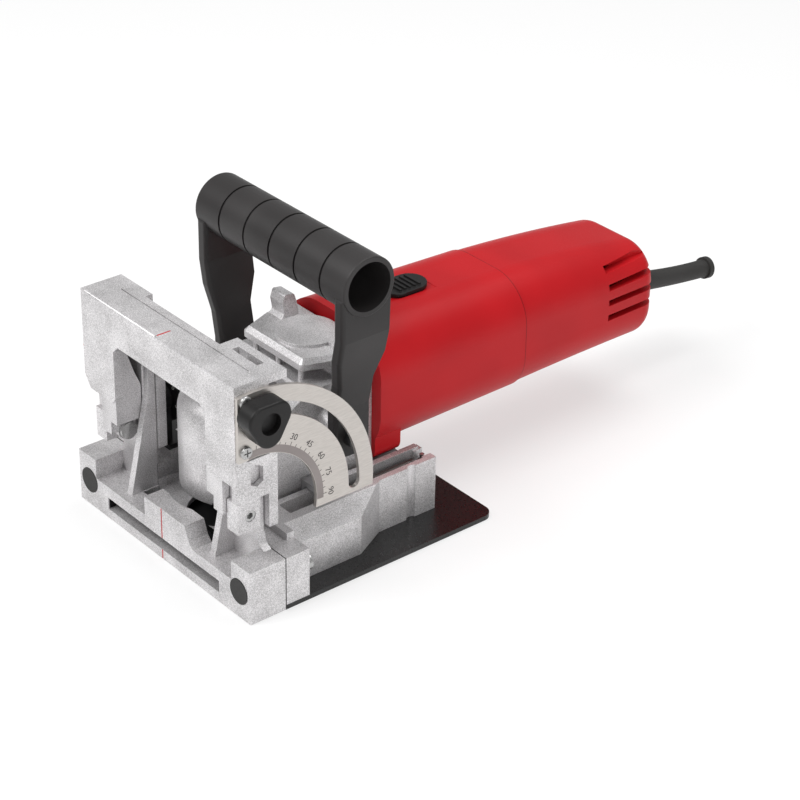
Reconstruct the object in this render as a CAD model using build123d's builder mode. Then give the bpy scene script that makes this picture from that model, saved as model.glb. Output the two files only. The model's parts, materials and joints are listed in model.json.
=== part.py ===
"""Biscuit joiner: a plunging plate-joint cutter with a swivelling fence.

Millimetres, +Z up.  The origin is on the underside of the sole, straight below the
spindle axis with the motor unit at rest.  -Y points at the work, +X is the side that
carries the angle quadrant.
"""
import os
from math import cos, radians, sin

from build123d import *

os.makedirs("parts", exist_ok=True)

# ---------------------------------------------------------------- driving dimensions
# blade and plunge
blade_r = 50.0            # 100 mm slotting cutter
blade_t = 3.8             # kerf over the teeth
blade_z = 8.4             # middle of the kerf above the sole
plunge = 16.5             # full travel of the motor unit
blade_rest_gap = 2.5      # rim of the blade behind the front face at rest
front = -(blade_r + blade_rest_gap)      # the face that is pressed on the work

# base castings
base_hw = 70.0            # half width of the front face
face_d = 20.5             # depth of the front casting
bolt_reach = 11.5         # how far the housing bolts reach into it
block_h = 28.2            # corner blocks
low_h = 17.8              # wall between the corner blocks and the middle
corner_x = 55.5           # where the corner blocks begin
slot_hw = 45.7            # blade slot in the front face
slot_h = 6.4
wall_front = 7.0          # thickness of the face around the slot
chamber_r = blade_r + 2.5
chamber_top = 12.2
sole_t = 2.5
sole_back = front + 149.0
flange_back = front + 34.2
rail_back = front + 128.5
rail_out = 48.9           # outer face of the rails
rail_in = 33.9            # inner face of the rails
rail_wall = 3.4
rail_top = 32.0
guide_top = 33.0
deck_z = 15.0             # running surface of the slide
groove_z0 = 19.4          # guide groove in the rails
groove_h = 4.4
groove_deep = 2.0
wall_y0 = front + 30.0    # where the raised walls begin behind the flange
channel_y0 = front + 42.0
spring_x = 41.4           # return springs lie in the channels of the rails
spring_z = 27.6
spring_r = 3.0
spring_front = front + 64.0
spring_back = rail_back - 2.7
wide_x = 58.3             # outer face of the wide front part of the walls
wide_back = front + 74.4
narrow_from = front + 93.0
slide_gap = 0.25          # running clearance of flat guides

# guide columns for the height slide
column_x0 = 36.0
column_x1 = 53.4
column_y0 = front + 16.0
column_top = 92.0
rib_t = 4.0

# height carriage
carriage_gap = 0.4
cheek_out = 57.3
carriage_back_t = 5.0
carriage_top = 113.0
arm_in = 31.0
arm_z0 = 38.9
bridge_z0 = 102.6
lug_in = 49.0
pivot_y = front + 10.2
pivot_z = 48.9
pivot_r = 3.0
shaft_gap = 0.05          # radial running clearance of pins in bores
lug_z0 = 41.0
lug_z1 = 57.0
lug_y0 = front + 3.2
strip_y0 = front + 5.2

# fence
fence_hw = 60.5
fence_top = 120.5
fence_t = 4.5
leg_z0 = 68.5
window_x0 = -35.0
window_x1 = 38.0
window_top = 101.0
flange_t = 2.9
flange_d = 2.1            # depth of the side flange behind the plate
top_t = 4.0
top_back = front + 19.0
lug_back = front + 29.0
ear_z0 = 60.0
ear_z1 = 80.5
ear_back = front + 23.0
knuckle_x0 = 41.5
knuckle_x1 = 48.5
knuckle_r = 5.2
web_x0 = 36.4             # inner face of the web beside the window
web_t = 3.6

# angle quadrant
quad_t = 2.0
quad_r = 67.4
quad_in = 34.1
quad_bottom = 43.0
arc_r = 56.0
arc_w = 6.4

# handle
grip_y = 26.2
grip_z = 143.8
grip_r = 14.75
grip_hw = 57.0
grip_bore = 12.2
leg_foot_x = 48.0         # outer face of a leg at its foot
leg_t = 7.0
leg_front = 11.5
leg_foot_y0 = 14.0        # front and rear edges of a leg near its foot
leg_foot_y1 = 34.0
boss_y = 24.0             # screw that holds a leg to the gear head
boss_z = 62.0

# motor
motor_z = 64.5            # armature axis
shell_front = 50.5
seam_y = 145.9
shell_back = 241.2
shell_w0 = 37.0           # half width and half height at the gear head
shell_h0 = 34.0
shell_w1 = 35.0           # and at the seam
shell_h1 = 32.4
shell_w2 = 32.6           # and at the rear end
shell_h2 = 30.0
shell_z0 = 66.4
shell_z1 = 65.1
shell_z2 = 63.6
shell_t = 2.8
shell_wall = 2.5          # front wall of the housing
spigot_r = 23.8           # spigot of the gear head in the front wall
shaft_r = 4.0
core_r = 17.0
fan_y = 60.0
fan_r = 27.5
bearing_gap = 0.02

# gear head
bulb_r = 29.0             # dome over the bevel gears
bulb_y = -6.5             # the dome stands a little in front of the spindle
bulb_z0 = 29.0
neck_r = 25.9             # flange on the slide plate
head_z0 = 24.0            # joint face between the slide plate and the gear head
head_hw = 30.0
head_y0 = -8.0
head_top = 82.0           # top of the front part, under the cover's edge
head_rear_top = 88.0
gear_chamber_r = 20.5
spindle_r = 5.0
pinion_y = 17.5
crown_z = 55.3


# ---------------------------------------------------------------- helpers
def at(y, z=0.0, x=0.0):
    """Plane standing across the tool (normal +Y) with its local axes along X and Z."""
    return Plane(origin=(x, y, z), x_dir=(1, 0, 0), z_dir=(0, -1, 0))


def side(x, y=0.0, z=0.0):
    """Plane lying against the side of the tool (normal +X), local axes along Y and Z."""
    return Plane(origin=(x, y, z), x_dir=(0, 1, 0), z_dir=(1, 0, 0))


def block(x0, x1, y0, y1, z0, z1, mode=Mode.ADD):
    """Box between two corners, added to the part that is being built."""
    with Locations(((x0 + x1) / 2, (y0 + y1) / 2, (z0 + z1) / 2)):
        Box(x1 - x0, y1 - y0, z1 - z0, mode=mode)


def rod(start, direction, radius, length, mode=Mode.ADD):
    """Round bar from a point along a direction."""
    with BuildSketch(Plane(origin=start, z_dir=direction)) as disc:
        Circle(radius)
    extrude(disc.sketch, amount=length, mode=mode)


def hexagon(start, direction, across, length, mode=Mode.ADD):
    """Hexagonal bar or recess from a point along a direction."""
    with BuildSketch(Plane(origin=start, z_dir=direction)) as profile:
        RegularPolygon(across / 2, 6, major_radius=False)
    extrude(profile.sketch, amount=length, mode=mode)


def outline(plane, points, depth, mode=Mode.ADD):
    """Straight-sided outline drawn on a plane and extruded."""
    with BuildSketch(plane) as profile:
        with BuildLine():
            Polyline(*points, close=True)
        make_face()
    extrude(profile.sketch, amount=depth, mode=mode)


def save(piece, name):
    """Name a finished piece and write it to its own file."""
    piece.part.label = name
    export_step(piece.part, f"parts/{name}.step")


# ================================================================ base
# ---- front casting: face with the blade slot, corner blocks, columns and ribs
def column(sign):
    """Guide column with its flared foot and the thin triangular rib in front of it."""
    x0, x1 = sorted((sign * column_x0, sign * column_x1))
    block(x0, x1, column_y0, front + face_d, low_h - 1, column_top)
    rib_x0 = sign * (column_x0 - rib_t)
    rib_x1 = sign * column_x0
    left = min(rib_x0, rib_x1)
    rib = [(front + 5, low_h - 0.5), (front + face_d, low_h - 0.5), (front + face_d, column_top),
           (front + 16.6, column_top), (front + 16.6, 70.0)]
    outline(side(left), rib, rib_t)
    flare = [(x1 if sign > 0 else x0, low_h - 0.5), (sign * (column_x1 + 6), block_h),
             (sign * (column_x1 + 2), block_h + 2.5), (sign * column_x1, block_h + 8)]
    outline(at(front + face_d), flare, 4.5)


with BuildPart() as front_casting:
    face = [(-base_hw, 0), (base_hw, 0), (base_hw, block_h), (corner_x, block_h), (corner_x, low_h),
            (25.0, low_h), (22.0, 21.0), (19.0, block_h), (-14.0, block_h), (-14.0, low_h),
            (-corner_x, low_h), (-corner_x, block_h), (-base_hw, block_h)]
    outline(at(front + face_d), face, face_d)
    column(1)
    column(-1)
    # the middle of the wall is thin, and the bay behind it lets the gear head come forward
    block(-31.4, 31.4, front + 11.2, front + face_d, chamber_top - 1, block_h, mode=Mode.SUBTRACT)
    rod((0, -plunge, low_h), (0, 0, 1), neck_r + 0.6, block_h, mode=Mode.SUBTRACT)
    # blade chamber and slot
    block(-chamber_r, chamber_r, front + wall_front, front + face_d, 4.4, chamber_top,
          mode=Mode.SUBTRACT)
    block(-slot_hw, slot_hw, front, front + wall_front, blade_z - slot_h / 2, blade_z + slot_h / 2,
          mode=Mode.SUBTRACT)
    # seats for the rubber pads and the bolts from behind
    for x in (-61.3, 61.3):
        rod((x, front, 14.2), (0, 1, 0), 6.55, 3.0, mode=Mode.SUBTRACT)
    for x in (-63.0, 63.0):
        rod((x, front + face_d, 16.0), (0, -1, 0), 2.5, bolt_reach + 0.5, mode=Mode.SUBTRACT)
    # fine groove for the centre line
    block(-0.45, 0.45, front, front + 0.4, 0.0, blade_z - slot_h / 2, mode=Mode.SUBTRACT)
    block(-0.45, 0.45, front, front + 0.4, blade_z + slot_h / 2, block_h, mode=Mode.SUBTRACT)
save(front_casting, "front_casting")

with BuildPart() as center_line:
    block(-0.4, 0.4, front + 0.05, front + 0.4, 0.3, blade_z - slot_h / 2 - 0.2)
    block(-0.4, 0.4, front + 0.05, front + 0.4, blade_z + slot_h / 2 + 0.2, block_h - 0.2)
save(center_line, "center_line")

with BuildPart() as antislip_pads:
    for x in (-61.3, 61.3):
        rod((x, front - 0.3, 14.2), (0, 1, 0), 6.5, 3.3)
save(antislip_pads, "antislip_pads")


# ---- slide housing: flange, blade chamber, side walls and rails
def wall(sign):
    """Side wall of the slide housing, wide at the blade and narrow along the rail."""
    wide = [(wall_y0, sign * rail_in), (wall_y0, sign * wide_x),
            (wide_back, sign * wide_x), (narrow_from, sign * rail_out),
            (rail_back, sign * rail_out), (rail_back, sign * rail_in)]
    outline(Plane.XY.offset(sole_t), [(x, y) for y, x in wide], rail_top - sole_t)
    # shoulder that slopes down to the outer face of the wide part
    slope = [(sign * 50.5, rail_top + 0.1), (sign * (wide_x + 0.1), rail_top + 0.1),
             (sign * (wide_x + 0.1), 23.5), (sign * 54.5, 27.5)]
    outline(at(narrow_from), slope, narrow_from - flange_back, mode=Mode.SUBTRACT)
    x0, x1 = sorted((sign * rail_in, sign * (rail_in + rail_wall)))
    block(x0, x1, channel_y0, rail_back - 1.6, rail_top, guide_top)
    # channel for the return spring, open at the top
    x0, x1 = sorted((sign * (rail_in + rail_wall), sign * (rail_out - rail_wall)))
    block(x0, x1, channel_y0, rail_back - 5.5, 22.2, rail_top + 0.1, mode=Mode.SUBTRACT)
    x0, x1 = sorted((sign * (spring_x - 3.0), sign * (spring_x + 3.0)))
    block(x0, x1, rail_back - 6.0, rail_back + 0.1, 26.2, rail_top + 0.1, mode=Mode.SUBTRACT)
    # guide groove
    x0, x1 = sorted((sign * (rail_in - 0.1), sign * (rail_in + groove_deep)))
    block(x0, x1, front + face_d, rail_back + 0.1, groove_z0, groove_z0 + groove_h,
          mode=Mode.SUBTRACT)
    # upright groove in the outer face
    rod((sign * (rail_out + 1.6), front + 113.0, sole_t), (0, 0, 1), 3.2, rail_top,
        mode=Mode.SUBTRACT)


bolt_x = 63.0
bolt_z = 16.0
dust_y = front + 56.0     # dust outlet on the left wall
dust_z = 14.0
sole_screw_places = [(sx * x, y) for sx in (-1, 1)
                     for x, y in ((64.0, front + 27.0), (44.0, front + 120.0))]
with BuildPart() as slide_housing:
    block(-base_hw, base_hw, front + face_d, flange_back, sole_t, block_h)
    block(-rail_in, rail_in, front + face_d, rail_back - 18, sole_t, deck_z)
    wall(1)
    wall(-1)
    # blade chamber under the deck
    block(-chamber_r, chamber_r, front + face_d, 0, sole_t, chamber_top, mode=Mode.SUBTRACT)
    with BuildSketch(Plane.XY.offset(sole_t)):
        Circle(chamber_r)
    extrude(amount=chamber_top - sole_t, mode=Mode.SUBTRACT)
    # bay in front, slot in the deck for the spindle housing
    block(-rail_in, rail_in, front + face_d, flange_back, deck_z, block_h + 1, mode=Mode.SUBTRACT)
    with BuildSketch(Plane.XY.offset(chamber_top - 1)):
        with Locations((0, -plunge / 2)):
            SlotCenterToCenter(plunge, 2 * 17.5, rotation=90)
    extrude(amount=4.0, mode=Mode.SUBTRACT)
    # bolt holes in the flange
    for x in (-bolt_x, bolt_x):
        rod((x, front + face_d, bolt_z), (0, 1, 0), 2.75, 20.0, mode=Mode.SUBTRACT)
    # dust channel on the left
    rod((-wide_x - 1, dust_y, dust_z), (1, 0, 0), 8.6, 10.0, mode=Mode.SUBTRACT)
    # screw holes for the sole
    for x, y in sole_screw_places:
        rod((x, y, sole_t), (0, 0, 1), 2.0, 8.0, mode=Mode.SUBTRACT)
    # cross holes for the spring anchor pins
    for x in (-spring_x, spring_x):
        rod((x, spring_back, 22.2), (0, 0, 1), 1.22, 20.0, mode=Mode.SUBTRACT)
save(slide_housing, "slide_housing")

with BuildPart() as housing_bolts:
    for x in (-bolt_x, bolt_x):
        rod((x, front + face_d - bolt_reach, bolt_z), (0, 1, 0), 2.45,
            flange_back - front - face_d + bolt_reach)
        rod((x, flange_back, bolt_z), (0, 1, 0), 4.2, 4.5)
        hexagon((x, flange_back + 4.5, bolt_z), (0, -1, 0), 4.0, 2.6, mode=Mode.SUBTRACT)
save(housing_bolts, "housing_bolts")

with BuildPart() as sole_plate:
    block(-base_hw, base_hw, front + face_d, sole_back, 0, sole_t)
    fillet(sole_plate.edges().filter_by(Axis.Z).group_by(Axis.Y)[-1], 6.0)
    for x, y in sole_screw_places:
        with BuildSketch(Plane.XY.offset(0).move(Location((x, y, 0)))):
            Circle(3.7)
        extrude(amount=1.6, taper=45, mode=Mode.SUBTRACT)
        rod((x, y, 0), (0, 0, 1), 2.1, sole_t, mode=Mode.SUBTRACT)
save(sole_plate, "sole_plate")

with BuildPart() as sole_screws:
    for x, y in sole_screw_places:
        with BuildSketch(Plane.XY.offset(0.15).move(Location((x, y, 0)))):
            Circle(3.4)
        extrude(amount=1.5, taper=45)
        rod((x, y, 0.15), (0, 0, 1), 1.95, 8.0)
        hexagon((x, y, 0.15), (0, 0, 1), 2.5, 1.4, mode=Mode.SUBTRACT)
save(sole_screws, "sole_screws")

# ---- dust outlet
with BuildPart() as dust_outlet:
    rod((-wide_x - 26, dust_y, dust_z), (1, 0, 0), 10.6, 26.0)
    rod((-wide_x - 3, dust_y, dust_z), (1, 0, 0), 11.4, 3.0)
    rod((-wide_x - 26, dust_y, dust_z), (1, 0, 0), 11.2, 1.6)
    rod((-wide_x, dust_y, dust_z), (1, 0, 0), 8.5, 4.0)
    rod((-wide_x - 27, dust_y, dust_z), (1, 0, 0), 7.4, 40.0, mode=Mode.SUBTRACT)
    rod((-wide_x - 27, dust_y, dust_z), (1, 0, 0), 8.0, 25.0, mode=Mode.SUBTRACT)
save(dust_outlet, "dust_outlet")

# ---- return springs and their pins
with BuildPart() as spring_anchor_pins:
    for x in (-spring_x, spring_x):
        rod((x, spring_back, 22.3), (0, 0, 1), 1.2, 8.8)
save(spring_anchor_pins, "spring_anchor_pins")


def return_spring(sign):
    """Close-coiled tension spring as a corrugated sleeve with a hook plate at each end."""
    coil_front = spring_front + 5.0
    coil_back = spring_back - 5.4
    turns = 40
    pitch = (coil_back - coil_front) / turns
    crest = []
    for i in range(turns):
        crest += [(spring_r - 0.45, coil_front + i * pitch), (spring_r, coil_front + (i + 0.5) * pitch)]
    crest.append((spring_r - 0.45, coil_back))
    with BuildPart() as spring:
        with BuildSketch(Plane(origin=(sign * spring_x, 0, spring_z), x_dir=(0, 0, 1), z_dir=(-1, 0, 0))):
            with BuildLine():
                Polyline((spring_r - 1.3, coil_front), *crest, (spring_r - 1.3, coil_back), close=True)
            make_face()
        revolve(axis=Axis((sign * spring_x, 0, spring_z), (0, 1, 0)))
        for eye_y, reach in ((spring_front, 1), (spring_back, -1)):
            with BuildSketch(Plane(origin=(sign * spring_x, eye_y, spring_z - 0.5), z_dir=(0, 0, 1))):
                Circle(2.5)
                with Locations((0, reach * 3.6)):
                    Rectangle(3.6, 4.4)
                Circle(1.35, mode=Mode.SUBTRACT)
            extrude(amount=1.0)
    return spring


spring_left = return_spring(-1)
save(spring_left, "return_spring_left")
spring_right = return_spring(1)
save(spring_right, "return_spring_right")

# ---- depth stop: a stepped dial on a post
dial_x = -44.6
dial_z = 57.5
dial_r = 13.0
dial_y = front + 34.6
step_r = 11.8
step_lengths = [8.4, 7.0, 5.6, 4.2, 2.8, 1.4]

with BuildPart() as dial_post:
    block(-50.4, -38.8, front + 30.2, dial_y - 0.4, rail_top, dial_z)
    block(-50.4, -36.0, front + 30.2, channel_y0 - 0.5, rail_top, rail_top + 2.6)
    rod((dial_x, front + 30.2, dial_z), (0, 1, 0), 7.0, dial_y - 0.4 - front - 30.2)
    rod((dial_x, front + 27.0, dial_z), (0, 1, 0), 2.02, 10.0, mode=Mode.SUBTRACT)
save(dial_post, "dial_post")

with BuildPart() as dial_axle:
    rod((dial_x, front + 30.4, dial_z), (0, 1, 0), 2.0, 15.3)
    rod((dial_x, dial_y + 10.6, dial_z), (0, 1, 0), 3.2, 1.4)
save(dial_axle, "dial_axle")

with BuildPart() as depth_dial:
    rod((dial_x, dial_y, dial_z), (0, 1, 0), dial_r, 4.0)
    with BuildSketch(at(dial_y, dial_z, dial_x)):
        with PolarLocations(dial_r, 18):
            Circle(0.9)
    extrude(amount=-4.0, mode=Mode.SUBTRACT)
    for i, length in enumerate(step_lengths):
        a0 = 60.0 * i + 15.0
        with BuildSketch(at(dial_y + 4.0, dial_z, dial_x)):
            with BuildLine():
                arc = CenterArc((0, 0), step_r, a0, 60.0)
                Line((0, 0), arc @ 0)
                Line(arc @ 1, (0, 0))
            make_face()
        extrude(amount=-length)
    rod((dial_x, dial_y, dial_z), (0, 1, 0), 2.0 + shaft_gap, 30.0, mode=Mode.SUBTRACT)
    rod((dial_x, dial_y + 10.4, dial_z), (0, 1, 0), 4.0, 8.0, mode=Mode.SUBTRACT)
save(depth_dial, "depth_dial")

# ================================================================ height carriage
carriage_y1 = front + face_d + carriage_gap + carriage_back_t


def carriage_side(sign):
    """U-shaped channel that wraps round one guide column, with the pivot lug in front."""
    def slab(xa, xb, y0, y1, z0, z1):
        x0, x1 = sorted((sign * xa, sign * xb))
        block(x0, x1, y0, y1, z0, z1)

    back = front + face_d + carriage_gap
    slab(arm_in, cheek_out, back, carriage_y1, arm_z0, carriage_top)
    slab(column_x1 + carriage_gap, cheek_out, strip_y0, carriage_y1, ear_z0 - 3, carriage_top)
    slab(lug_in, cheek_out, strip_y0, column_y0 - carriage_gap, lug_z0, carriage_top)
    slab(lug_in, cheek_out, lug_y0, column_y0 - carriage_gap, lug_z0, lug_z1)
    slab(arm_in, cheek_out, front + 12, carriage_y1, bridge_z0, carriage_top)


height_knob_y = front + 18.0
height_knob_z = column_top - 5.5
with BuildPart() as height_carriage:
    carriage_side(1)
    carriage_side(-1)
    block(-arm_in, arm_in, front + face_d + carriage_gap, carriage_y1, 98.0, carriage_top)
    # pocket under the slot of the fence's rear lug
    block(31.5, 49.5, front + 19.5, front + 24.6, 99.0, carriage_top + 1, mode=Mode.SUBTRACT)
    for sx in (-1, 1):
        rod((sx * (lug_in - 1), pivot_y, pivot_z), (sx, 0, 0), pivot_r + 0.01, 12.0, mode=Mode.SUBTRACT)
    # threaded hole for the angle clamp, straight above the pivot
    rod((lug_in - 1, pivot_y, pivot_z + arc_r), (1, 0, 0), pivot_r + shaft_gap, 12.0,
        mode=Mode.SUBTRACT)
    # threaded hole for the height clamp
    rod((-cheek_out - 1, height_knob_y, height_knob_z), (1, 0, 0), pivot_r + shaft_gap, 5.2,
        mode=Mode.SUBTRACT)
save(height_carriage, "height_carriage")

with BuildPart() as pivot_screws:
    for sx in (-1, 1):
        rod((sx * (knuckle_x0 - 2.2), pivot_y, pivot_z), (sx, 0, 0), 4.6, 2.0)
        rod((sx * (knuckle_x0 - 0.3), pivot_y, pivot_z), (sx, 0, 0), pivot_r,
            cheek_out - knuckle_x0 - 0.1)
        hexagon((sx * (cheek_out - 0.4), pivot_y, pivot_z), (-sx, 0, 0), 3.0, 3.0,
                mode=Mode.SUBTRACT)
save(pivot_screws, "pivot_screws")

# ---- height clamp on the left cheek
with BuildPart() as height_knob:
    with BuildSketch(side(-fence_hw - 6.1, height_knob_y, height_knob_z)):
        Circle(12.6)
        with PolarLocations(12.6, 6):
            Circle(2.2)
    extrude(amount=5.4)
    fillet(height_knob.faces().sort_by(Axis.X)[0].edges(), 1.0)
    rod((-fence_hw - 0.9, height_knob_y, height_knob_z), (1, 0, 0), 5.6, 0.6)
save(height_knob, "height_knob")

with BuildPart() as height_stud:
    rod((-fence_hw - 0.3, height_knob_y, height_knob_z), (1, 0, 0), pivot_r,
        fence_hw + 0.15 - column_x1)
save(height_stud, "height_stud")

# ================================================================ fence
with BuildPart() as fence:
    # front plate with the window and the chamfered left leg
    shape = [(-fence_hw, fence_top), (-fence_hw, leg_z0 + 6.5), (-fence_hw + 4.5, leg_z0),
             (window_x0 - 2.5, leg_z0), (window_x0, leg_z0 + 3.0), (window_x0, window_top - 4),
             (window_x0 + 4, window_top), (window_x1 - 4, window_top), (window_x1, window_top - 4),
             (window_x1, leg_z0), (fence_hw, leg_z0), (fence_hw, fence_top)]
    outline(at(front + fence_t), shape, fence_t)
    block(-fence_hw, fence_hw, front, top_back, fence_top - top_t, fence_top)
    fillet(fence.edges().filter_by(Axis.X).group_by(Axis.Z)[-1].group_by(Axis.Y)[0], 0.8)
    block(24.0, fence_hw, top_back - 1, lug_back, fence_top - top_t, fence_top)
    block(-fence_hw, -fence_hw + 26.0, top_back - 1, top_back + 4.0, fence_top - top_t, fence_top)
    for sx in (-1, 1):
        x0, x1 = sorted((sx * (fence_hw - flange_t), sx * fence_hw))
        flange_z0 = ear_z0 if sx > 0 else leg_z0 + 7.0
        block(x0, x1, front, front + fence_t + flange_d, flange_z0, fence_top)
        block(x0, x1, front, top_back, fence_top - 5.0, fence_top)
        # curved web that stiffens the leg beside the window
        web = [(front + 1, window_top - 1), (front + 8.0, window_top - 1), (front + 9.0, 91.0),
               (front + 12.0, 82.0), (front + 15.4, 74.0), (front + 15.4, 62.0),
               (pivot_y + knuckle_r, 56.0), (front + 1.2, 56.0)]
        w0 = sx * web_x0
        outline(side(min(w0, w0 + sx * web_t)), web, web_t)
        # knuckle that hangs from the leg to the pivot
        k0, k1 = sorted((sx * knuckle_x0, sx * knuckle_x1))
        block(k0, k1, front + 1.2, pivot_y + knuckle_r, pivot_z, leg_z0 + 8)
        block(min(sx * web_x0, k0), max(sx * web_x0, k1), front + 1.2, front + 6.0, 56.0, leg_z0 + 8)
        rod((k0, pivot_y, pivot_z), (1, 0, 0), knuckle_r, k1 - k0)
        rod((k0 - 1, pivot_y, pivot_z), (1, 0, 0), pivot_r + shaft_gap, 10.0, mode=Mode.SUBTRACT)
    # ear with a window at the foot of the right leg
    ear = [(front, ear_z0), (ear_back - 3, ear_z0), (ear_back, ear_z0 + 3), (ear_back, ear_z1 - 2),
           (ear_back - 2, ear_z1), (front, ear_z1)]
    outline(side(fence_hw - flange_t), ear, flange_t)
    hole = [(front + 8.4, 67.6), (front + 12.0, 65.6), (front + 15.4, 67.6),
            (front + 15.4, 75.2), (front + 8.4, 79.0)]
    outline(side(fence_hw - flange_t - 1), hole, flange_t + 2, mode=Mode.SUBTRACT)
    # slot in the rear lug, groove along the top
    block(31.0, 50.0, front + 20.6, front + 24.4, fence_top - top_t - 1, fence_top + 1,
          mode=Mode.SUBTRACT)
    block(-48.0, 52.0, front + 14.0, front + 14.8, fence_top - 0.8, fence_top + 1, mode=Mode.SUBTRACT)
    # centre mark
    block(-0.45, 0.45, front, front + 9.0, fence_top - 0.4, fence_top, mode=Mode.SUBTRACT)
    # tapped holes for the quadrant
    for y, z in ((front + 4.2, 87.6), (front + 4.2, 113.2)):
        rod((fence_hw + 0.1, y, z), (-1, 0, 0), 1.55, 8.0, mode=Mode.SUBTRACT)
save(fence, "fence")

with BuildPart() as fence_mark:
    block(-0.4, 0.4, front + 1.6, front + 8.9, fence_top - 0.35, fence_top - 0.05)
save(fence_mark, "fence_mark")


quad_front = front + 0.3
with BuildPart() as angle_quadrant:
    with BuildSketch(side(fence_hw)):
        with Locations((pivot_y, pivot_z)):
            Circle(quad_r)
            Circle(quad_in, mode=Mode.SUBTRACT)
        with Locations(((quad_front + pivot_y + 80) / 2, (quad_bottom + 130) / 2)):
            Rectangle(pivot_y + 80 - quad_front, 130 - quad_bottom, mode=Mode.INTERSECT)
        # the front end is cut level above the ear
        with Locations((pivot_y - 20, pivot_z + 13.7)):
            Rectangle(40, 40, mode=Mode.SUBTRACT)
        # slot for the clamp stud
        with BuildLine(mode=Mode.PRIVATE) as slot_line:
            CenterArc((pivot_y, pivot_z), arc_r, -0.4, 90.8)
        SlotArc(slot_line.edges()[0], arc_w, mode=Mode.SUBTRACT)
        with Locations(*[(front + 4.2, z) for z in (87.6, 113.2)]):
            Circle(1.75, mode=Mode.SUBTRACT)
    extrude(amount=quad_t)
save(angle_quadrant, "angle_quadrant")

quad_screw_y = front + 4.2
quad_screw_z = (87.6, 113.2)
with BuildPart() as quadrant_screws:
    for z in quad_screw_z:
        rod((fence_hw - flange_t + 0.2, quad_screw_y, z), (1, 0, 0), 1.5, flange_t + quad_t)
        rod((fence_hw + quad_t, quad_screw_y, z), (1, 0, 0), 3.1, 1.7)
    fillet(quadrant_screws.edges().group_by(Axis.X)[-1], 0.8)
    for z in quad_screw_z:
        y = quad_screw_y
        block(fence_hw + quad_t + 0.7, fence_hw + quad_t + 2, y - 1.9, y + 1.9, z - 0.35, z + 0.35,
              mode=Mode.SUBTRACT)
        block(fence_hw + quad_t + 0.7, fence_hw + quad_t + 2, y - 0.35, y + 0.35, z - 1.9, z + 1.9,
              mode=Mode.SUBTRACT)
save(quadrant_screws, "quadrant_screws")

# ---- angle clamp: rounded-triangular knob on a stud
knob_x = fence_hw + quad_t + 0.4
clamp_z = pivot_z + arc_r
with BuildPart() as clamp_knob:
    with BuildSketch(side(knob_x + 1.4, pivot_y, clamp_z)):
        with PolarLocations(5.2, 3, start_angle=30):
            Circle(7.1)
        make_hull()
    extrude(amount=9.6)
    fillet(clamp_knob.edges().filter_by(GeomType.LINE, reverse=True).group_by(Axis.X)[-1], 1.2)
    rod((knob_x + 1.4 + 9.6, pivot_y, clamp_z), (-1, 0, 0), 5.4, 3.4, mode=Mode.SUBTRACT)
    rod((knob_x + 0.5, pivot_y, clamp_z), (1, 0, 0), 5.4, 1.2)
save(clamp_knob, "clamp_knob")

with BuildPart() as clamp_washer:
    rod((knob_x - 0.3, pivot_y, clamp_z), (1, 0, 0), 6.2, 0.8)
    rod((knob_x - 1, pivot_y, clamp_z), (1, 0, 0), pivot_r + shaft_gap, 3.0, mode=Mode.SUBTRACT)
save(clamp_washer, "clamp_washer")

with BuildPart() as clamp_stud:
    rod((lug_in + 0.6, pivot_y, clamp_z), (1, 0, 0), pivot_r, knob_x + 0.5 - lug_in - 0.6)
save(clamp_stud, "clamp_stud")

# ================================================================ motor unit
# ---- slide plate: runs in the rail grooves, carries the lower spindle bearing
slide_front = front + 38.0
slide_back = 62.0
slide_top = 20.0
head_back = shell_front
with BuildPart() as slide_plate:
    block(-rail_in + slide_gap, rail_in - slide_gap, slide_front, slide_back, deck_z + 0.15, slide_top)
    tongue = rail_in + groove_deep - slide_gap
    block(-tongue, tongue, slide_front, slide_back, groove_z0 + slide_gap, groove_z0 + groove_h - slide_gap)
    block(-26.0, 26.0, -22.0, slide_back, slide_top - 1, head_z0)
    block(-29.0, 29.0, head_back + 0.5, slide_back + 5.0, slide_top - 1, 30.4)
    # upright arms that reach over the rail to the springs
    for sx in (-1, 1):
        x0, x1 = sorted((sx * (head_hw + 0.3), sx * (rail_in - 0.5)))
        block(x0, x1, spring_front - 4, spring_front + 4, slide_top, guide_top + 3.6)
        x0, x1 = sorted((sx * (head_hw + 0.3), sx * (spring_x + 2.6)))
        block(x0, x1, spring_front - 4, spring_front + 4, guide_top + 0.6, guide_top + 3.6)
        rod((sx * spring_x, spring_front, guide_top + 3.0), (0, 0, -1), 1.2, 9.6)
    # sleeve for the lower bearing, hanging in the slot of the deck
    rod((0, 0, chamber_top + 0.4), (0, 0, 1), 15.6, 6.0)
    rod((0, 0, chamber_top - 1), (0, 0, 1), 11.0 + bearing_gap, 8.6, mode=Mode.SUBTRACT)
    rod((0, 0, chamber_top), (0, 0, 1), 9.0, 14.0, mode=Mode.SUBTRACT)
save(slide_plate, "slide_plate")

with BuildPart() as lower_bearing:
    rod((0, 0, chamber_top + 0.6), (0, 0, 1), 11.0, 7.0)
    rod((0, 0, chamber_top), (0, 0, 1), spindle_r + bearing_gap, 9.0, mode=Mode.SUBTRACT)
save(lower_bearing, "lower_bearing")

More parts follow.
